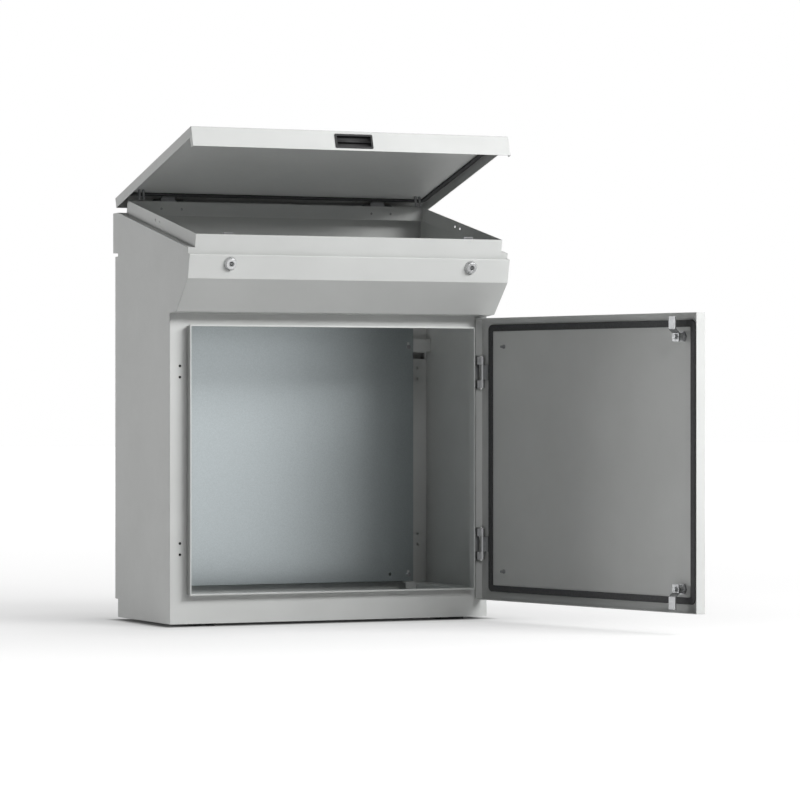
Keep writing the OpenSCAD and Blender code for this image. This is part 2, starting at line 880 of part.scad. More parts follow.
// Hinge leaf on the frame: a plate with two hooked knuckles and two studs
module frame_hinge_leaf(z) {
    plate_x = opening_w / 2 + 2 * sheet_t + leaf_gap;
    arm_x = hinge_x - 14;
    arm_t = 4;
    mid_y = front_y - leaf_t / 2;
    end_l = (hinge_l - knuckle_l) / 2 - knuckle_gap;
    hook = [
        [arm_x, mid_y],
        [arm_x + arm_t, mid_y],
        [arm_x + arm_t, hinge_y + knuckle_r / 2],
        [hinge_x, hinge_y + knuckle_r / 2],
        [hinge_x, hinge_y - knuckle_r / 2],
        [arm_x, hinge_y - knuckle_r / 2]];
    color(steel)
        translate([0, 0, z]) {
            box([plate_x, front_y - leaf_t, -hinge_l / 2], [hinge_x - 0.5, front_y, hinge_l / 2]);
            for (low = [-hinge_l / 2, hinge_l / 2 - end_l])
                translate([0, 0, low])
                    difference() {
                        union() {
                            linear_extrude(end_l)
                                polygon(hook);
                            translate([hinge_x, hinge_y, 0])
                                cylinder(r = knuckle_r, h = end_l);
                        }
                        translate([hinge_x, hinge_y, -cut])
                            cylinder(r = pin_r, h = end_l + 2 * cut);
                    }
            for (k = [-1, 1])
                translate([half_w - hinge_hole_in, mid_y, k * hinge_hole_pitch / 2])
                    bar_y(screw_d / 2, 2 * screw_d + leaf_t / 2);
        }
}
module frame_hinge_leaf_upper() {
    frame_hinge_leaf(hinge_zs[0]);
}
module frame_hinge_leaf_lower() {
    frame_hinge_leaf(hinge_zs[1]);
}

// Pin with a small head
module hinge_pin() {
    translate([0, 0, -hinge_l / 2])
        cylinder(r = pin_r, h = hinge_l + pin_r / 4);
    translate([0, 0, hinge_l / 2])
        cylinder(r = pin_r + 1, h = pin_r / 2);
}
module door_hinge_pin(z) {
    color(steel)
        translate([hinge_x, hinge_y, z])
            hinge_pin();
}
module door_hinge_pin_upper() {
    door_hinge_pin(hinge_zs[0]);
}
module door_hinge_pin_lower() {
    door_hinge_pin(hinge_zs[1]);
}

// Nuts on the hinge studs behind the frame
module hinge_nuts() {
    color(steel)
        along(front_y + sheet_t, screw_d - sheet_t)
            for (z = hinge_zs, k = [-1, 1])
                translate([half_w - hinge_hole_in, z + k * hinge_hole_pitch / 2])
                    difference() {
                        circle(d = screw_head_d + sheet_t, $fn = 6);
                        circle(d = screw_d);
                    }
}

// Places of the lid hinge screws on the rear of the collar, in the desk frame
module deck_screw_places() {
    for (x = [-lid_hinge_x, lid_hinge_x], k = [-1, 1])
        translate([x + k * hinge_hole_pitch, collar_len, lid_axis_n / 2])
            children();
}

// Hinge leaf on the rear of the collar, in the desk frame
module deck_hinge_leaf(x) {
    end_l = (hinge_l - knuckle_l) / 2 - knuckle_gap;
    color(steel)
        on_desk() {
            difference() {
                translate([x, 0, 0])
                    box([-hinge_l / 2, collar_len, sheet_t], [hinge_l / 2, collar_len + leaf_t, lid_axis_n]);
                deck_screw_places()
                    translate([0, -cut, 0])
                        bar_y(screw_d / 2, leaf_t + 2 * cut);
            }
            translate([x, 0, 0])
                for (low = [-hinge_l / 2, hinge_l / 2 - end_l])
                    difference() {
                        union() {
                            box([low, collar_len, lid_axis_n - knuckle_r],
                                [low + end_l, lid_axis_s, lid_axis_n + knuckle_r / 2]);
                            translate([low, lid_axis_s, lid_axis_n])
                                rotate([0, 90, 0])
                                    cylinder(r = knuckle_r, h = end_l);
                        }
                        translate([low - cut, lid_axis_s, lid_axis_n])
                            rotate([0, 90, 0])
                                cylinder(r = pin_r, h = end_l + 2 * cut);
                    }
        }
}

// Screws of these leaves, flush with the inner face of the collar
module deck_hinge_screws() {
    color(steel)
        on_desk()
            deck_screw_places()
                translate([0, leaf_t, 0])
                    rotate([-90, 0, 0])
                        screw(leaf_t + sheet_t);
}
module deck_hinge_leaf_left() {
    deck_hinge_leaf(-lid_hinge_x);
}
module deck_hinge_leaf_right() {
    deck_hinge_leaf(lid_hinge_x);
}
module lid_hinge_pin(x) {
    color(steel)
        on_desk()
            translate([x, lid_axis_s, lid_axis_n])
                rotate([0, 90, 0])
                    hinge_pin();
}
module lid_hinge_pin_left() {
    lid_hinge_pin(-lid_hinge_x);
}
module lid_hinge_pin_right() {
    lid_hinge_pin(lid_hinge_x);
}

// Places of the lid locks, with Y into the nose
module lid_lock_place(x) {
    on_desk()
        translate([x, -nose_step, -lid_lock_drop])
            children();
}
module lid_lock_places() {
    for (x = [-lid_lock_x, lid_lock_x])
        lid_lock_place(x)
            children();
}

// Places of the door locks on the closed door, with Y into the cabinet and Z to the cam end
module door_lock_place(i) {
    translate([door_lock_x, door_y, door_lock_zs[i]])
        mirror([0, 0, i])
            children();
}
module door_lock_places() {
    for (i = [0, 1])
        door_lock_place(i)
            children();
}

// Lock housing with its conical rosette on the outer face at y = 0
module lock_housing() {
    bore = insert_d / 2 + insert_fit;
    rotate([-90, 0, 0])
        rotate_extrude()
            polygon([
                [bore, -rosette_h],
                [rosette_top_d / 2, -rosette_h],
                [rosette_d / 2, -1],
                [rosette_d / 2, 0],
                [barrel_d / 2, 0],
                [barrel_d / 2, barrel_l],
                [bore, barrel_l]]);
}
module lock_nut(t) {
    translate([0, t, 0])
        rotate([-90, 0, 0])
            difference() {
                cylinder(d = lock_nut_af / cos(30), h = lock_nut_h, $fn = 6);
                translate([0, 0, -cut])
                    cylinder(d = barrel_d, h = lock_nut_h + 2 * cut);
            }
}

// Turning insert with its key recess, the two-bit pin in it and the stub for a cam at the depth hub
module lock_insert(hub) {
    face = insert_sunk - rosette_h;
    difference() {
        union() {
            translate([0, face, 0])
                bar_y(insert_d / 2, hub - face);
            translate([0, hub - cam_t, 0])
                bar_y(cam_stub_d / 2, 2 * cam_t);
        }
        difference() {
            translate([0, face - cut, 0])
                bar_y(key_d / 2, key_depth + cut);
            translate([0, face, 0])
                bar_y(key_pin_d / 2, key_depth + cut);
            translate([0, face + (key_depth + cut) / 2 + 1, 0])
                cube([key_d + cut, key_depth + cut, key_pin_d / 2], center = true);
        }
    }
}

// Screw and washer that hold the cam on the stub
module cam_screw(hub) {
    translate([0, hub + cam_t, 0]) {
        bar_y(cam_screw_af * 0.7, 1);
        rotate([-90, 0, 0])
            cylinder(d = cam_screw_af / cos(30), h = cam_screw_h, $fn = 6);
    }
}

// Cranked cam of a door lock that closes behind the frame
module door_cam() {
    flat = front_y + sheet_t + cam_gap - door_y;
    path = [
        [flat, door_cam_l],
        [flat, cam_stub_d * 2 + 1],
        [door_hub, cam_stub_d + 1],
        [door_hub, -door_cam_w / 2]];
    difference() {
        across(door_cam_w)
            polygon(folded(path, cam_t));
        bar_y(cam_stub_d / 2, door_hub + cam_t + cut);
    }
}

// Straight cam of a lid lock with a T-shaped head
module lid_cam() {
    top = lid_lock_drop + lid_cam_top;
    difference() {
        along(lid_hub, cam_t)
            union() {
                translate([-lid_cam_w / 2, -lid_cam_w / 2])
                    square([lid_cam_w, top + lid_cam_w / 2]);
                translate([-lid_head_w / 2, top - lid_head_h])
                    square([lid_head_w, lid_head_h]);
            }
        bar_y(cam_stub_d / 2, lid_hub + cam_t + cut);
    }
}

module lid_lock_housings() {
    color(steel)
        lid_lock_places()
            lock_housing();
}
module lid_lock_nuts() {
    color(steel)
        lid_lock_places()
            lock_nut(sheet_t);
}

// Door tray; the edge on the hinge side is shallower and cut out at the hinges
module door_panel() {
    x = door_w / 2;
    mid = door_low + door_h / 2;
    shallow_y = hinge_y + 10;
    edge_y = front_y - cover_gap;
    color(paint)
        door_pose()
            difference() {
                box([-x, door_y, door_low], [x, edge_y, door_low + door_h]);
                box([door_t - x, door_y + door_t, door_low + door_t],
                    [x - door_t, edge_y + cut, door_low + door_h - door_t]);
                translate([0, 0, door_low - cut])
                    linear_extrude(door_h + 2 * cut)
                        polygon([
                            [x + cut, shallow_y],
                            [x - door_t, shallow_y],
                            [hinge_x + 6, edge_y],
                            [hinge_x + 6, edge_y + cut],
                            [x + cut, edge_y + cut]]);
                for (z = hinge_zs)
                    box([x - 2 * door_t, door_y + door_t, z - hinge_l / 2 - 3],
                        [x + cut, edge_y + cut, z + hinge_l / 2 + 3]);
                door_lock_places()
                    translate([0, -cut, 0])
                        bar_y(barrel_d / 2, door_t + 2 * cut);
            }
}
module door_gasket() {
    color(foam)
        door_pose()
            translate([0, door_y + door_t, pad_h + opening_z + opening_h / 2])
                lip_gasket(opening_h, gasket_w, gasket_t);
}

// Hinge leaf on the door with the middle knuckle
module door_hinge_leaf(z) {
    back = door_y + door_t;
    half = knuckle_l / 2;
    color(steel)
        door_pose()
            translate([0, 0, z])
                difference() {
                    union() {
                        box([hinge_x - 13, back, -half], [hinge_x + 10, back + flap_t, half]);
                        box([hinge_x - knuckle_r, back, -half], [hinge_x + knuckle_r, hinge_y, half]);
                        translate([hinge_x, hinge_y, -half])
                            cylinder(r = knuckle_r, h = knuckle_l);
                    }
                    translate([hinge_x, hinge_y, -half - cut])
                        cylinder(r = pin_r + pin_fit, h = knuckle_l + 2 * cut);
                }
}
module door_hinge_leaf_upper() {
    door_hinge_leaf(hinge_zs[0]);
}
module door_hinge_leaf_lower() {
    door_hinge_leaf(hinge_zs[1]);
}

module door_studs() {
    color(steel)
        door_pose()
            for (z = [door_low + door_stud_end, door_low + door_h - door_stud_end])
                translate([hinge_x - door_stud_in, door_y + door_t, z]) {
                    bar_y(screw_head_d / 2, 2);
                    bar_y(screw_d / 2, door_stud_l);
                }
}
module door_lock_housings() {
    color(steel)
        door_pose()
            door_lock_places()
                lock_housing();
}
module door_lock_nuts() {
    color(steel)
        door_pose()
            door_lock_places()
                lock_nut(door_t);
}
module door_lock_insert_top() {
    color(steel)
        door_pose()
            door_lock_place(0)
                lock_insert(door_hub);
}
module door_lock_insert_bottom() {
    color(steel)
        door_pose()
            door_lock_place(1)
                lock_insert(door_hub);
}
module door_lock_cam_top() {
    color(steel)
        door_pose()
            door_lock_place(0)
                door_cam();
}
module door_lock_cam_bottom() {
    color(steel)
        door_pose()
            door_lock_place(1)
                door_cam();
}
module door_lock_screw_top() {
    color(steel)
        door_pose()
            door_lock_place(0)
                cam_screw(door_hub);
}
module door_lock_screw_bottom() {
    color(steel)
        door_pose()
            door_lock_place(1)
                cam_screw(door_hub);
}

// Lid tray with a deeper front edge, cut out for the handle
module lid_panel() {
    skirt_n = lid_n - lid_skirt;
    front_n = lid_n - lid_front;
    front_s = -nose_step;
    color(paint)
        lid_pose()
            difference() {
                union() {
                    box([-lid_x, front_s, skirt_n], [lid_x, lid_rear_s, lid_n]);
                    box([-lid_x, front_s, front_n], [lid_x, front_s + lid_tab, lid_n]);
                }
                box([lid_t - lid_x, front_s + lid_t, front_n - cut],
                    [lid_x - lid_t, lid_rear_s - lid_t, lid_n - lid_t]);
                box([-handle_w / 2, front_s - cut, lid_n - handle_drop - handle_h],
                    [handle_w / 2, front_s + lid_t + cut, lid_n - handle_drop]);
            }
}
module lid_gasket() {
    w = 2 * collar_x - sheet_t;
    l = collar_len - sheet_t;
    color(foam)
        lid_pose()
            translate([0, collar_len / 2, collar_h + lid_gap - lid_gasket_t])
                linear_extrude(lid_gasket_t)
                    difference() {
                        polygon(round_rect(w + lid_gasket_w, l + lid_gasket_w, gasket_corner_r));
                        polygon(round_rect(w - lid_gasket_w, l - lid_gasket_w, gasket_inner_r));
                    }
}

// Black recessed handle: a rim in front of the sheet and a cup behind it
module lid_handle() {
    mid_n = lid_n - handle_drop - handle_h / 2;
    cup_w = handle_w - 2 * handle_t;
    cup_h = handle_h - 2 * handle_t;
    rim_w = handle_w + 2 * handle_rim;
    rim_h = handle_h + 2 * handle_rim;
    color(black)
        lid_pose()
            translate([0, -nose_step, mid_n]) {
                along(0, lid_t + handle_d)
                    square([cup_w, handle_grip], center = true);
                difference() {
                    union() {
                        along(-handle_t, handle_t)
                            polygon(round_rect(rim_w, rim_h, handle_rim));
                        along(-handle_t / 2, handle_t / 2 + lid_t + handle_d)
                            square([handle_w, handle_h], center = true);
                    }
                    along(-handle_t - cut, handle_t + cut + lid_t + handle_d - handle_t)
                        square([cup_w, cup_h], center = true);
                }
            }
}
module lid_hinge_leaf(x) {
    under = lid_n - lid_t;
    half = knuckle_l / 2;
    color(steel)
        lid_pose()
            translate([x, 0, 0])
                difference() {
                    union() {
                        box([-half, lid_axis_s - 18, under - flap_t], [half, lid_axis_s + 10, under]);
                        box([-half, lid_axis_s - knuckle_r, lid_axis_n],
                            [half, lid_axis_s + knuckle_r, under]);
                        translate([-half, lid_axis_s, lid_axis_n])
                            rotate([0, 90, 0])
                                cylinder(r = knuckle_r, h = knuckle_l);
                    }
                    translate([-half - cut, lid_axis_s, lid_axis_n])
                        rotate([0, 90, 0])
                            cylinder(r = pin_r + pin_fit, h = knuckle_l + 2 * cut);
                }
}
module lid_hinge_leaf_left() {
    lid_hinge_leaf(-lid_hinge_x);
}
module lid_hinge_leaf_right() {
    lid_hinge_leaf(lid_hinge_x);
}
module lid_studs() {
    color(steel)
        lid_pose()
            both_sides()
                for (x = [lid_stud_x, lid_stud_x - lid_stud_pitch])
                    translate([x, lid_rear_s - lid_stud_in, lid_n - lid_t - lid_stud_l])
                        cylinder(d = screw_d, h = lid_stud_l);
}

// Folded keepers under the lid that the outer sides of the cam heads catch
module lid_keepers() {
    lip_n = lid_cam_top - lid_head_h - keeper_gap;
    back_s = lid_hub - nose_step + cam_t + keeper_back;
    front_s = lid_hub - nose_step - keeper_gap;
    path = [
        [front_s, lip_n - keeper_t],
        [back_s + keeper_t, lip_n - keeper_t],
        [back_s + keeper_t, lid_n - lid_t]];
    color(steel)
        lid_pose()
            both_sides()
                translate([lid_lock_x + (lid_cam_w + keeper_w) / 2 + 1, 0, 0])
                    across(keeper_w)
                        polygon(folded(path, keeper_t));
}
module lid_lock_insert_left() {
    color(steel)
        lid_lock_place(-lid_lock_x)
            lock_insert(lid_hub);
}
module lid_lock_insert_right() {
    color(steel)
        lid_lock_place(lid_lock_x)
            lock_insert(lid_hub);
}
module lid_lock_cam_left() {
    color(steel)
        lid_lock_place(-lid_lock_x)
            lid_cam();
}
module lid_lock_cam_right() {
    color(steel)
        lid_lock_place(lid_lock_x)
            lid_cam();
}
module lid_lock_screw_left() {
    color(steel)
        lid_lock_place(-lid_lock_x)
            cam_screw(lid_hub);
}
module lid_lock_screw_right() {
    color(steel)
        lid_lock_place(lid_lock_x)
            cam_screw(lid_hub);
}

left_side();
right_side();
front_frame();
nose_panel();
desk_deck();
rear_header();
rear_frame();
floor_pan();
foot_pads();
floor_rail_left();
floor_rail_right();
gland_plates();
gland_gaskets();
gland_screws();
rear_panel();
rear_panel_gasket();
rear_panel_pillars();
rear_panel_screws();
mounting_plate();
plate_brackets_upper();
plate_brackets_lower();
plate_screws();
frame_hinge_leaf_upper();
frame_hinge_leaf_lower();
door_hinge_pin_upper();
door_hinge_pin_lower();
hinge_nuts();
deck_hinge_leaf_left();
deck_hinge_leaf_right();
lid_hinge_pin_left();
lid_hinge_pin_right();
deck_hinge_screws();
lid_lock_housings();
lid_lock_nuts();
door_panel();
door_gasket();
door_hinge_leaf_upper();
door_hinge_leaf_lower();
door_studs();
door_lock_housings();
door_lock_nuts();
door_lock_insert_top();
door_lock_cam_top();
door_lock_screw_top();
door_lock_insert_bottom();
door_lock_cam_bottom();
door_lock_screw_bottom();
lid_panel();
lid_gasket();
lid_handle();
lid_hinge_leaf_left();
lid_hinge_leaf_right();
lid_studs();
lid_keepers();
lid_lock_insert_left();
lid_lock_cam_left();
lid_lock_screw_left();
lid_lock_insert_right();
lid_lock_cam_right();
lid_lock_screw_right();
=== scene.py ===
import json
import math

import bmesh
import bpy
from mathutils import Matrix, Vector
from mathutils.bvhtree import BVHTree


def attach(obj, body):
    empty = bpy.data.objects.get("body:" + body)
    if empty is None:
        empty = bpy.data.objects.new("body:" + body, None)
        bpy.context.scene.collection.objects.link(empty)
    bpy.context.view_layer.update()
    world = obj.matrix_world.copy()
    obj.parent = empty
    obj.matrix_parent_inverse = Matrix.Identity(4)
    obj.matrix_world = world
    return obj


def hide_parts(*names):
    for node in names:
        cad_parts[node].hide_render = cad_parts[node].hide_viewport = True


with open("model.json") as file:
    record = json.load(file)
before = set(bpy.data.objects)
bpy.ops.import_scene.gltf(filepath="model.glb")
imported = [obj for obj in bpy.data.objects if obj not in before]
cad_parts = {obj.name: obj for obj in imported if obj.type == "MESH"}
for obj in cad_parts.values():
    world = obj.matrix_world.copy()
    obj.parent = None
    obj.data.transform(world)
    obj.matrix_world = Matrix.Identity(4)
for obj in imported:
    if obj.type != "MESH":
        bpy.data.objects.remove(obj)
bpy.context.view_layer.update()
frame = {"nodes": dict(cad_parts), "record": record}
nodes = frame["nodes"]
bodies = frame["record"]["behaviour"]["bodies"]
body_of = {node: body for body, members in bodies.items() for node in members}
slot_of = {entry["node"]: entry["material_slot"] for entry in frame["record"]["subparts"]}


# Finishes

noise_low, noise_high = 0.3, 0.7
fine = 2.0


def finish_material(name):
    """A new material with its shader and Object coordinates."""
    material = bpy.data.materials.new(name)
    material.use_nodes = True
    tree = material.node_tree
    shader = tree.nodes["Principled BSDF"]
    coords = tree.nodes.new("ShaderNodeTexCoord")
    return material, tree, shader, coords.outputs["Object"]


def noise(tree, place, scale, detail=4.0, roughness=0.55):
    """Cloudy pattern, with the scale in cells per metre."""
    node = tree.nodes.new("ShaderNodeTexNoise")
    node.inputs["Scale"].default_value = scale
    node.inputs["Detail"].default_value = detail
    node.inputs["Roughness"].default_value = roughness
    tree.links.new(place, node.inputs["Vector"])
    return node.outputs["Fac"]


def ramp(tree, value, stops):
    """Colour that runs between stops of a pattern."""
    node = tree.nodes.new("ShaderNodeValToRGB")
    band = node.color_ramp
    while len(band.elements) < len(stops):
        band.elements.new(0.5)
    for element, (position, color) in zip(band.elements, stops):
        element.position = position
        element.color = (*color, 1.0)
    tree.links.new(value, node.inputs["Fac"])
    return node.outputs["Color"]


def spread(tree, value, low, high):
    """Pattern drawn out between two values."""
    node = tree.nodes.new("ShaderNodeMapRange")
    node.inputs["From Min"].default_value = noise_low
    node.inputs["From Max"].default_value = noise_high
    node.inputs["To Min"].default_value = low
    node.inputs["To Max"].default_value = high
    tree.links.new(value, node.inputs["Value"])
    return node.outputs["Result"]


def relief(tree, shader, height, strength, depth):
    """Fine unevenness of the surface, with its depth in metres."""
    node = tree.nodes.new("ShaderNodeBump")
    node.inputs["Strength"].default_value = strength
    node.inputs["Distance"].default_value = depth
    tree.links.new(height, node.inputs["Height"])
    tree.links.new(node.outputs["Normal"], shader.inputs["Normal"])


def grainy_finish(
    name, tones, tone_noise, roughness, roughness_scale, bump, specular=None, metallic=None
):
    """Material with a clouded tone, an uneven roughness and a fine relief."""
    material, tree, shader, place = finish_material(name)
    tree.links.new(ramp(tree, noise(tree, place, *tone_noise), tones), shader.inputs["Base Color"])
    uneven = spread(tree, noise(tree, place, roughness_scale), *roughness)
    tree.links.new(uneven, shader.inputs["Roughness"])
    bump_scale, bump_strength, bump_depth = bump
    relief(tree, shader, noise(tree, place, bump_scale, fine), bump_strength, bump_depth)
    if specular is not None:
        shader.inputs["Specular IOR Level"].default_value = specular
    if metallic is not None:
        shader.inputs["Metallic"].default_value = metallic
    return material


def between(dark, light):
    """Stops for a ramp over the usual span of a noise."""
    return [(noise_low, dark), (noise_high, light)]


def powder_coat(name, dark, light):
    return grainy_finish(
        name, tones=[(0.35, dark), (0.65, light)], tone_noise=(5.0, 3.0),
        roughness=(0.46, 0.56), roughness_scale=60.0, bump=(950.0, 0.12, 0.0003), specular=0.4,
    )


def zinc_sheet(name, dark, light):
    return grainy_finish(
        name, tones=between(dark, light), tone_noise=(420.0, 3.0, 0.7),
        roughness=(0.28, 0.32), roughness_scale=300.0, bump=(800.0, 0.012, 0.0002), metallic=1.0,
    )


def plated_steel(name, dark, light, roughness):
    return grainy_finish(
        name, tones=between(dark, light), tone_noise=(120.0,),
        roughness=roughness, roughness_scale=260.0, bump=(700.0, 0.05, 0.0002), metallic=0.9,
    )


def foam_seal(name, dark, light):
    return grainy_finish(
        name, tones=between(dark, light), tone_noise=(220.0,),
        roughness=(0.6, 0.8), roughness_scale=400.0, bump=(1300.0, 0.25, 0.0003),
    )


def moulded_plastic(name, dark, light):
    return grainy_finish(
        name, tones=between(dark, light), tone_noise=(90.0,),
        roughness=(0.50, 0.64), roughness_scale=300.0, bump=(1600.0, 0.2, 0.0002), specular=0.25,
    )


finishes = {
    "paint": powder_coat("light_grey_powder_coat", (0.565, 0.575, 0.565), (0.595, 0.605, 0.595)),
    "galvanised": zinc_sheet("zinc_coated_sheet", (0.335, 0.367, 0.377), (0.400, 0.437, 0.450)),
    "zinc": plated_steel("zinc_plated_steel", (0.27, 0.275, 0.28), (0.31, 0.315, 0.32), (0.36, 0.48)),
    "lock_chrome": plated_steel(
        "plated_lock_casting", (0.46, 0.465, 0.47), (0.54, 0.545, 0.55), (0.24, 0.34)
    ),
    "gasket": foam_seal("foamed_seal", (0.022, 0.023, 0.024), (0.040, 0.041, 0.043)),
    "handle": moulded_plastic("black_moulded_plastic", (0.009, 0.009, 0.010), (0.016, 0.016, 0.017)),
}
# The foot pads are near-black as painted shade, so the gap under the base reads as a dark line.
painted_shade_finish = {
    "foot_pads": plated_steel(
        "foot_pad_black_painted_shade", (0.030, 0.030, 0.032), (0.045, 0.045, 0.047), (0.50, 0.62)
    ),
}


# Rounded copies of the solids, in metres

merge_distance = 0.000005
flat_angle = math.radians(0.5)
sharp_angle = math.radians(35)
smooth_angle = math.radians(32)
fold_reach = 0.005
on_skin = 0.00002
side_skin_x = 0.39995
side_edge_radius = 0.0014
fold_radius = 0.0016
fold_segments = 4
soft_segments = 2

desk_slope = math.radians(12.5)
desk_edge = Vector((0.0, -0.2759, 0.8549))
up_the_desk = Vector((0.0, math.cos(desk_slope), math.sin(desk_slope)))
across_x = Vector((1.0, 0.0, 0.0))
upright = Vector((0.0, 0.0, 1.0))


def cuts_at(direction, distances):
    """Planes across a direction, each as a point and a normal."""
    return [(direction * distance, direction) for distance in distances]


hinge_hole_heights = (0.5909, 0.5655, 0.1889, 0.1635)
middle_cut = cuts_at(across_x, (0.0,))
hinge_hole_cuts = cuts_at(upright, hinge_hole_heights)
hole_cuts = {
    "front_frame": middle_cut + hinge_hole_cuts,
    "rear_frame": middle_cut + hinge_hole_cuts + cuts_at(upright, (0.621,)),
    "desk_deck": cuts_at(across_x, (-0.2964, -0.2456, 0.0, 0.2456, 0.2964))
    + [(desk_edge + up_the_desk * reach, up_the_desk) for reach in (0.2260, 0.2536)],
    "door_panel": cuts_at(upright, (0.653, 0.377, 0.099)),
    "lid_panel": middle_cut,
    "rear_panel": middle_cut + cuts_at(upright, (0.108, 0.449, 0.790)),
    "mounting_plate": cuts_at(upright, (0.096, 0.646)),
    "door_gasket": cuts_at(upright, (0.377,)),
    "lid_gasket": middle_cut,
    "rear_panel_gasket": middle_cut,
    "lid_handle": middle_cut,
}


def copy_of(node):
    """A copy of a solid with its loose triangles joined into whole faces, cut through its holes."""
    piece = nodes[node].copy()
    piece.data = nodes[node].data.copy()
    piece.name = node + "_finished"
    piece.data.name = piece.name
    bpy.context.scene.collection.objects.link(piece)
    bpy.ops.object.select_all(action="DESELECT")
    piece.select_set(True)
    bpy.context.view_layer.objects.active = piece
    bpy.ops.object.mode_set(mode="EDIT")
    bpy.ops.mesh.select_all(action="SELECT")
    bpy.ops.mesh.remove_doubles(threshold=merge_distance)
    for point, normal in hole_cuts.get(node, ()):
        bpy.ops.mesh.select_all(action="SELECT")
        bpy.ops.mesh.bisect(plane_co=point, plane_no=normal)
        bpy.ops.mesh.mark_seam()
    bpy.ops.mesh.select_all(action="SELECT")
    bpy.ops.mesh.dissolve_limited(angle_limit=flat_angle, delimit={"SEAM"})
    bpy.ops.mesh.select_all(action="DESELECT")
    return piece


def round_edges(piece, wanted, radius, segments):
    """Bevels the sharp outer edges that are wanted."""
    mesh = bmesh.from_edit_mesh(piece.data)
    mesh.select_mode = {"EDGE"}
    skin = BVHTree.FromBMesh(mesh)
    picked = 0
    for edge in mesh.edges:
        sharp = len(edge.link_faces) == 2 and edge.calc_face_angle_signed(0.0) > sharp_angle
        if sharp and wanted(edge, skin):
            edge.select_set(True)
            picked += 1
    mesh.select_flush_mode()
    bmesh.update_edit_mesh(piece.data)
    if picked:
        bpy.ops.mesh.bevel(
            offset=radius, offset_type="OFFSET", segments=segments, affect="EDGES", clamp_overlap=True
        )
    bpy.ops.mesh.select_all(action="DESELECT")


def finished(piece, node):
    """Ends the edit of a copy, shades it and puts it in its solid's place."""
    bpy.ops.object.mode_set(mode="OBJECT")
    bpy.ops.object.shade_smooth_by_angle(angle=smooth_angle)
    bpy.ops.object.modifier_add(type="WEIGHTED_NORMAL")
    even = piece.modifiers[-1]
    even.keep_sharp = True
    bpy.ops.object.modifier_apply(modifier=even.name)
    piece.data.materials.clear()
    piece.data.materials.append(painted_shade_finish.get(node, finishes[slot_of[node]]))
    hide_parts(node)
    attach(piece, body_of[node])


def any_edge(edge, skin):
    """Every sharp edge of a small part."""
    return True


def fold_edge(edge, skin):
    """Edges between two broad faces, where a sheet is folded."""
    start, end = (vert.co for vert in edge.verts)
    middle = (start + end) / 2
    for face in edge.link_faces:
        inward = face.normal.cross(end - start).normalized()
        if inward.dot(face.calc_center_median() - middle) < 0:
            inward.negate()
        if skin.find_nearest(middle + inward * fold_reach)[3] > on_skin:
            return False
    return True


def outer_skin_edge(edge, skin):
    """Edges of the outer face of a side sheet."""
    return all(abs(vert.co.x) > side_skin_x for vert in edge.verts)


side_sheets = ("left_side", "right_side")
for node in side_sheets:
    piece = copy_of(node)
    round_edges(piece, outer_skin_edge, side_edge_radius, fold_segments)
    finished(piece, node)

trays = ("door_panel", "lid_panel", "rear_panel")
for node in trays:
    piece = copy_of(node)
    round_edges(piece, fold_edge, fold_radius, fold_segments)
    finished(piece, node)

soft_edges = {
    "front_frame": 0.0004,
    "desk_deck": 0.0004,
    "rear_frame": 0.0004,
    "mounting_plate": 0.0003,
    "gland_plates": 0.0003,
    "foot_pads": 0.0008,
    "door_gasket": 0.0014,
    "lid_gasket": 0.0016,
    "rear_panel_gasket": 0.0014,
    "lid_handle": 0.0006,
    "frame_hinge_leaf_upper": 0.0005,
    "frame_hinge_leaf_lower": 0.0005,
    "door_hinge_leaf_upper": 0.0004,
    "door_hinge_leaf_lower": 0.0004,
    "deck_hinge_leaf_left": 0.0005,
    "deck_hinge_leaf_right": 0.0005,
    "lid_hinge_leaf_left": 0.0004,
    "lid_hinge_leaf_right": 0.0004,
    "door_hinge_pin_upper": 0.0003,
    "door_hinge_pin_lower": 0.0003,
    "lid_hinge_pin_left": 0.0003,
    "lid_hinge_pin_right": 0.0003,
    "door_lock_housings": 0.0005,
    "lid_lock_housings": 0.0005,
    "door_lock_nuts": 0.0005,
    "lid_lock_nuts": 0.0005,
    "hinge_nuts": 0.0004,
    "door_lock_cam_top": 0.0005,
    "door_lock_cam_bottom": 0.0005,
    "lid_lock_cam_left": 0.0005,
    "lid_lock_cam_right": 0.0005,
    "door_lock_screw_top": 0.0004,
    "door_lock_screw_bottom": 0.0004,
    "lid_lock_screw_left": 0.0004,
    "lid_lock_screw_right": 0.0004,
    "lid_keepers": 0.0004,
    "lid_studs": 0.0005,
    "door_studs": 0.0004,
    "plate_screws": 0.0006,
    "rear_panel_screws": 0.0006,
    "gland_screws": 0.0006,
    "deck_hinge_screws": 0.0005,
}
for node, radius in soft_edges.items():
    piece = copy_of(node)
    round_edges(piece, any_edge, radius, soft_segments)
    finished(piece, node)

replaced = {*side_sheets, *trays, *soft_edges}
for node, solid in nodes.items():
    if node not in replaced:
        solid.data.materials.clear()
        solid.data.materials.append(finishes[slot_of[node]])


# Push-in plugs in the four spare hinge holes of the left stile

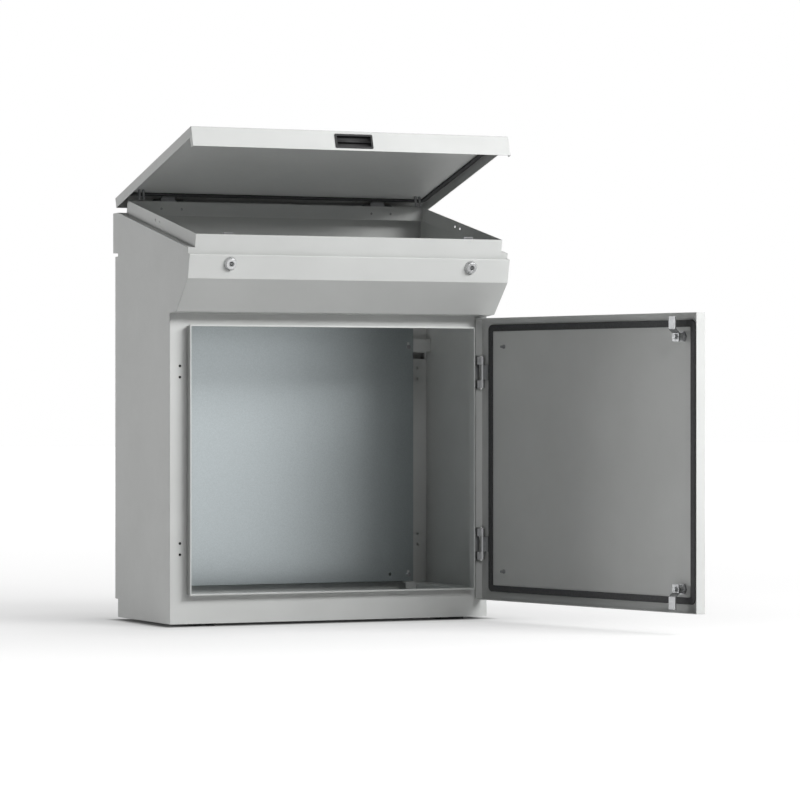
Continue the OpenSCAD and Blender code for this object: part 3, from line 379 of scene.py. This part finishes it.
def spare_hole_plugs():
    """Four dished plugs, each modelled from a cylinder, joined into one piece."""
    hole_x = -0.3746
    stile_face = -0.165
    plug_radius = 0.00315
    plug_length = 0.005
    plug_recess = 0.0003
    rim_width = plug_radius * 0.3
    dish_slope_width = plug_radius * 0.15
    dish_depth = plug_radius * 0.3
    plug_sides = 40
    edge_radius = 0.0002
    bpy.ops.object.select_all(action="DESELECT")
    plugs = []
    for height in hinge_hole_heights:
        middle = (hole_x, stile_face + plug_recess + plug_length / 2, height)
        bpy.ops.mesh.primitive_cylinder_add(
            vertices=plug_sides, radius=plug_radius, depth=plug_length,
            location=middle, rotation=(math.pi / 2, 0.0, 0.0),
        )
        plug = bpy.context.object
        bpy.ops.object.mode_set(mode="EDIT")
        mesh = bmesh.from_edit_mesh(plug.data)
        bpy.ops.mesh.select_all(action="DESELECT")
        for face in mesh.faces:
            face.select_set(len(face.verts) > 4 and face.normal.z > 0.5)
        bmesh.update_edit_mesh(plug.data)
        bpy.ops.mesh.inset(thickness=rim_width, depth=0.0)
        bpy.ops.mesh.inset(thickness=dish_slope_width, depth=-dish_depth)
        bpy.ops.object.mode_set(mode="OBJECT")
        bpy.ops.object.transform_apply(location=True, rotation=True, scale=True)
        plugs.append(plug)
    for plug in plugs:
        plug.select_set(True)
    bpy.context.view_layer.objects.active = plugs[0]
    bpy.ops.object.join()
    piece = bpy.context.object
    piece.name = "spare_hole_plugs"
    bpy.ops.object.modifier_add(type="BEVEL")
    softened = piece.modifiers[-1]
    softened.width = edge_radius
    softened.segments = soft_segments
    bpy.ops.object.modifier_apply(modifier=softened.name)
    bpy.ops.object.shade_smooth_by_angle(angle=smooth_angle)
    piece.data.materials.clear()
    piece.data.materials.append(finishes["handle"])
    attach(piece, "cabinet")


spare_hole_plugs()


# Stage, light and camera

def sees_backdrop(tree):
    """1 for camera rays and for reflections of them, 0 for light scattered from dull surfaces."""
    path = tree.nodes.new("ShaderNodeLightPath")

    def join(operation, first, second):
        step = tree.nodes.new("ShaderNodeMath")
        step.operation = operation
        tree.links.new(first, step.inputs[0])
        if isinstance(second, float):
            step.inputs[1].default_value = second
        else:
            tree.links.new(second, step.inputs[1])
        return step.outputs["Value"]

    bent = join("MAXIMUM", path.outputs["Is Glossy Ray"], path.outputs["Is Transmission Ray"])
    unscattered = join("LESS_THAN", path.outputs["Diffuse Depth"], 0.5)
    return join("MAXIMUM", path.outputs["Is Camera Ray"], join("MULTIPLY", bent, unscattered))


def studio_floor():
    """Pale floor with the cabinet's shadow and a glow seen by the camera, weak under and beside the base
    as painted shade, plain white further out.
    """
    floor_size = 60.0
    material, tree, shader, place = finish_material("pale_studio_floor")
    clouds = noise(tree, place, 0.8, fine)
    # Camera rays see the floor at a lower tone than the light it scatters, so its real shadow shows
    # weaker and the glow below makes up the rest.
    lit_tone = ramp(tree, clouds, between((0.79, 0.79, 0.79), (0.81, 0.81, 0.81)))
    seen_tone = ramp(tree, clouds, between((0.36, 0.36, 0.36), (0.37, 0.37, 0.37)))
    seen = sees_backdrop(tree)
    tone = tree.nodes.new("ShaderNodeMix")
    tone.data_type = "RGBA"
    tree.links.new(seen, tone.inputs["Factor"])
    tree.links.new(lit_tone, tone.inputs["A"])
    tree.links.new(seen_tone, tone.inputs["B"])
    tree.links.new(tone.outputs["Result"], shader.inputs["Base Color"])
    shader.inputs["Roughness"].default_value = 0.7
    shader.inputs["Specular IOR Level"].default_value = 0.1

    def vector_step(operation, first, second=None):
        step = tree.nodes.new("ShaderNodeVectorMath")
        step.operation = operation
        tree.links.new(first, step.inputs[0])
        if second is not None:
            step.inputs[1].default_value = second
        return step

    half_base = (0.4, 0.165, 0.0)
    folded_place = vector_step("ABSOLUTE", place).outputs["Vector"]
    past_base = vector_step("SUBTRACT", folded_place, half_base).outputs["Vector"]
    outside = vector_step("MAXIMUM", past_base, (0.0, 0.0, 0.0)).outputs["Vector"]
    distance = vector_step("LENGTH", outside).outputs["Value"]
    fade_reach = 8.0
    # Glow strength by distance from the base, in metres: near nothing under the base and low beside it,
    # which paints a darker contact shade there, rising to plain white far out.
    painted_shade_glow = (
        (0.0, 0.02), (0.03, 0.42), (0.12, 0.52), (0.4, 0.62), (1.0, 0.72), (2.5, 0.80), (fade_reach, 1.0)
    )
    reach = tree.nodes.new("ShaderNodeMapRange")
    reach.inputs["From Max"].default_value = fade_reach
    tree.links.new(distance, reach.inputs["Value"])
    glow = tree.nodes.new("ShaderNodeFloatCurve")
    line = glow.mapping.curves[0]
    for metres, strength in painted_shade_glow[1:-1]:
        line.points.new(metres / fade_reach, strength)
    line.points[0].location = (0.0, painted_shade_glow[0][1])
    line.points[-1].location = (1.0, painted_shade_glow[-1][1])
    for point in line.points:
        point.handle_type = "VECTOR"
    glow.mapping.update()
    tree.links.new(reach.outputs["Result"], glow.inputs["Value"])
    lift = tree.nodes.new("ShaderNodeMath")
    lift.operation = "MULTIPLY"
    tree.links.new(seen, lift.inputs[0])
    tree.links.new(glow.outputs["Value"], lift.inputs[1])
    shader.inputs["Emission Color"].default_value = (1.0, 1.0, 1.0, 1.0)
    tree.links.new(lift.outputs["Value"], shader.inputs["Emission Strength"])
    bpy.ops.object.select_all(action="DESELECT")
    bpy.ops.mesh.primitive_plane_add(size=floor_size, location=(0.0, 0.0, 0.0))
    floor = bpy.context.object
    floor.name = "studio_floor"
    floor.data.materials.append(material)


def studio_world():
    """White where it is seen, and a weak fill light elsewhere."""
    world = bpy.data.worlds.new("white_studio")
    bpy.context.scene.world = world
    world.use_nodes = True
    tree = world.node_tree
    fill = tree.nodes["Background"]
    fill.inputs["Color"].default_value = (0.97, 0.985, 1.0, 1.0)
    fill.inputs["Strength"].default_value = 0.02
    backdrop = tree.nodes.new("ShaderNodeBackground")
    backdrop.inputs["Color"].default_value = (1.0, 1.0, 1.0, 1.0)
    backdrop.inputs["Strength"].default_value = 1.0
    choose = tree.nodes.new("ShaderNodeMixShader")
    tree.links.new(sees_backdrop(tree), choose.inputs["Fac"])
    tree.links.new(fill.outputs["Background"], choose.inputs[1])
    tree.links.new(backdrop.outputs["Background"], choose.inputs[2])
    tree.links.new(choose.outputs["Shader"], tree.nodes["World Output"].inputs["Surface"])


def soft_box(name, place, aim, width, height, power):
    """Rectangular lamp turned to a point, in metres and watts."""
    lamp = bpy.data.lights.new(name, "AREA")
    lamp.shape = "RECTANGLE"
    lamp.size = width
    lamp.size_y = height
    lamp.energy = power
    holder = bpy.data.objects.new(name, lamp)
    holder.location = place
    holder.rotation_euler = (Vector(aim) - Vector(place)).to_track_quat("-Z", "Y").to_euler()
    bpy.context.scene.collection.objects.link(holder)


studio_floor()
studio_world()
front_middle = (0.0, -0.3, 0.55)
body_middle = (0.0, 0.0, 0.5)
soft_box("key_right", place=(3.26, -4.47, 3.37), aim=front_middle, width=3.6, height=1.6, power=294.0)
soft_box("key_front", place=(0.92, -5.52, 3.37), aim=front_middle, width=3.6, height=1.6, power=116.0)
soft_box("rear_left", place=(-4.8, 2.6, 0.7), aim=body_middle, width=2.0, height=2.0, power=105.0)

lens = bpy.data.cameras.new("photo_camera")
lens.lens = 167.27
lens.sensor_width = 36.0
lens.clip_end = 100.0
camera = bpy.data.objects.new("photo_camera", lens)
camera.location = (-3.4785, -7.9996, 0.5138)
camera.rotation_euler = (math.radians(90.0), 0.0, math.radians(-25.0))
bpy.context.scene.collection.objects.link(camera)
bpy.context.scene.camera = camera
bpy.context.scene.view_settings.view_transform = "Standard"
